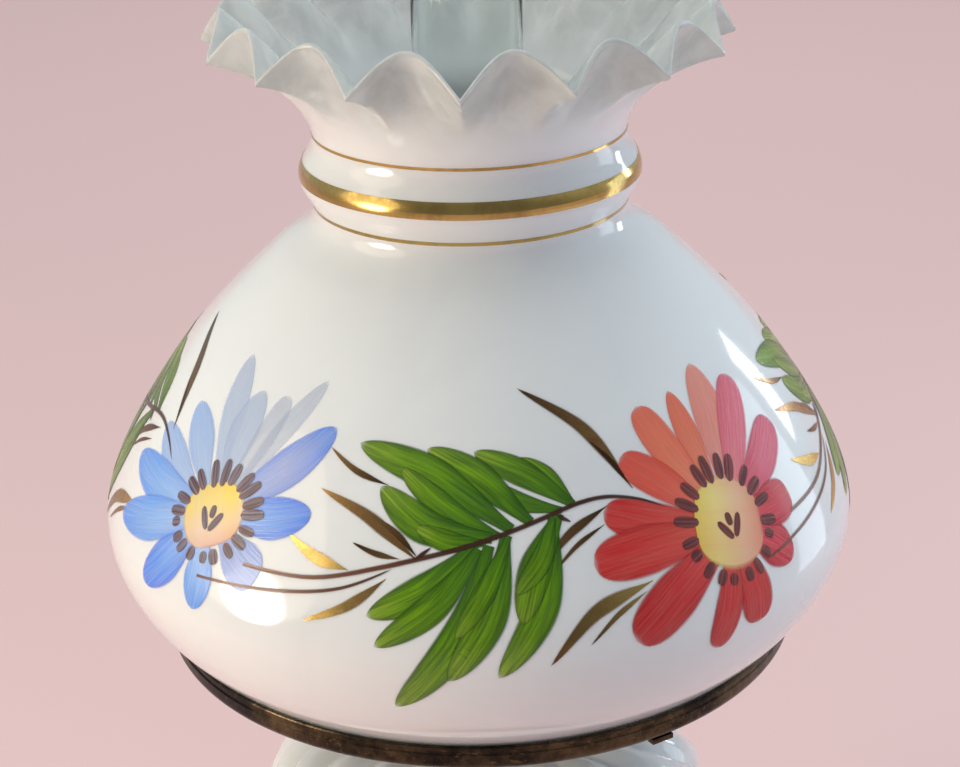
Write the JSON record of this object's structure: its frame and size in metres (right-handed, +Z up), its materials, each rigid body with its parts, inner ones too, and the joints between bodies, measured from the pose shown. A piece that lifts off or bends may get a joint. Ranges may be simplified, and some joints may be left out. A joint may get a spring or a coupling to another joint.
{
  "type": "oil lamp",
  "caption": "Table oil lamp: painted milk-glass shade with a crimped top on an armed brass holder, flat-wick burner, glass chimney, swirl-ribbed glass font and brass stem and foot.",
  "frame": {"origin": "middle of the face that the lamp stands on", "axes": "+Z up along the lamp's axis, -Y towards the front, +X towards the wick knob"},
  "size_m": [0.2946, 0.2946, 0.5501],
  "materials": {
    "cast_brass": "cast, antique lacquer",
    "turned_brass": "turned, antique lacquer",
    "collar_brass": "fluted, slightly tarnished",
    "burner_brass": "pressed sheet, slightly tarnished",
    "spring_brass": "pressed sheet, heat tinted",
    "holder_bronze": "dark bronze patina",
    "steel": "plain",
    "felt": "green baize",
    "plaster": "set plaster",
    "font_milk_glass": "glossy opaque white glass",
    "wick_cotton": "flat woven cotton",
    "chimney_glass": "clear",
    "shade_milk_glass": "glossy opaque white glass with painted flowers and gilt lines"
  },
  "bodies": {
    "lamp_base": {"foot": "cast_brass", "foot_felt": "felt", "rod_washer": "steel", "rod_nut": "steel", "tie_rod": "steel", "stem_spool_lower": "turned_brass", "stem_knop": "turned_brass", "stem_spool_upper": "turned_brass", "font_cup": "cast_brass", "font_cement": "plaster", "font_glass": "font_milk_glass", "collar_cement": "plaster", "font_collar": "collar_brass"},
    "burner": {"burner_sleeve": "burner_brass", "burner_basket": "burner_brass", "draft_plate": "burner_brass", "wick_tube": "burner_brass", "shaft_bush": "steel", "gallery_plate": "burner_brass", "gallery_springs": "spring_brass", "flame_dome": "spring_brass", "holder_hub": "holder_bronze", "holder_arm_1": "holder_bronze", "holder_arm_2": "holder_bronze", "holder_arm_3": "holder_bronze", "holder_rivets": "holder_bronze", "holder_ring": "holder_bronze"},
    "wick_spindle": {"wick_shaft": "steel", "wick_wheels": "steel", "wick_knob": "burner_brass"},
    "wick": {"wick": "wick_cotton"},
    "chimney": {"chimney": "chimney_glass"},
    "shade": {"shade": "shade_milk_glass"}
  },
  "joints": [
    {"name": "burner_lift", "type": "slide", "parent": "lamp_base", "child": "burner", "axis": [0, 0, 1], "range_m": [0, 0.1]},
    {"name": "wick_turn", "type": "hinge", "parent": "burner", "child": "wick_spindle", "pos_m": [0.04, -0.0058, 0.23211], "axis": [1, 0, 0], "range_deg": [-270, 135]},
    {"name": "wick_raise", "type": "slide", "parent": "burner", "child": "wick", "axis": [0, 0, 1], "range_m": [-0.02, 0.01]},
    {"name": "chimney_lift", "type": "slide", "parent": "burner", "child": "chimney", "axis": [0, 0, 1], "range_m": [0, 0.3]},
    {"name": "shade_lift", "type": "slide", "parent": "burner", "child": "shade", "axis": [0, 0, 1], "range_m": [0, 0.3]}
  ],
  "couplings": [
    {"joint": "wick_raise", "follows": "wick_turn", "m_per_rad": 0.0042}
  ]
}
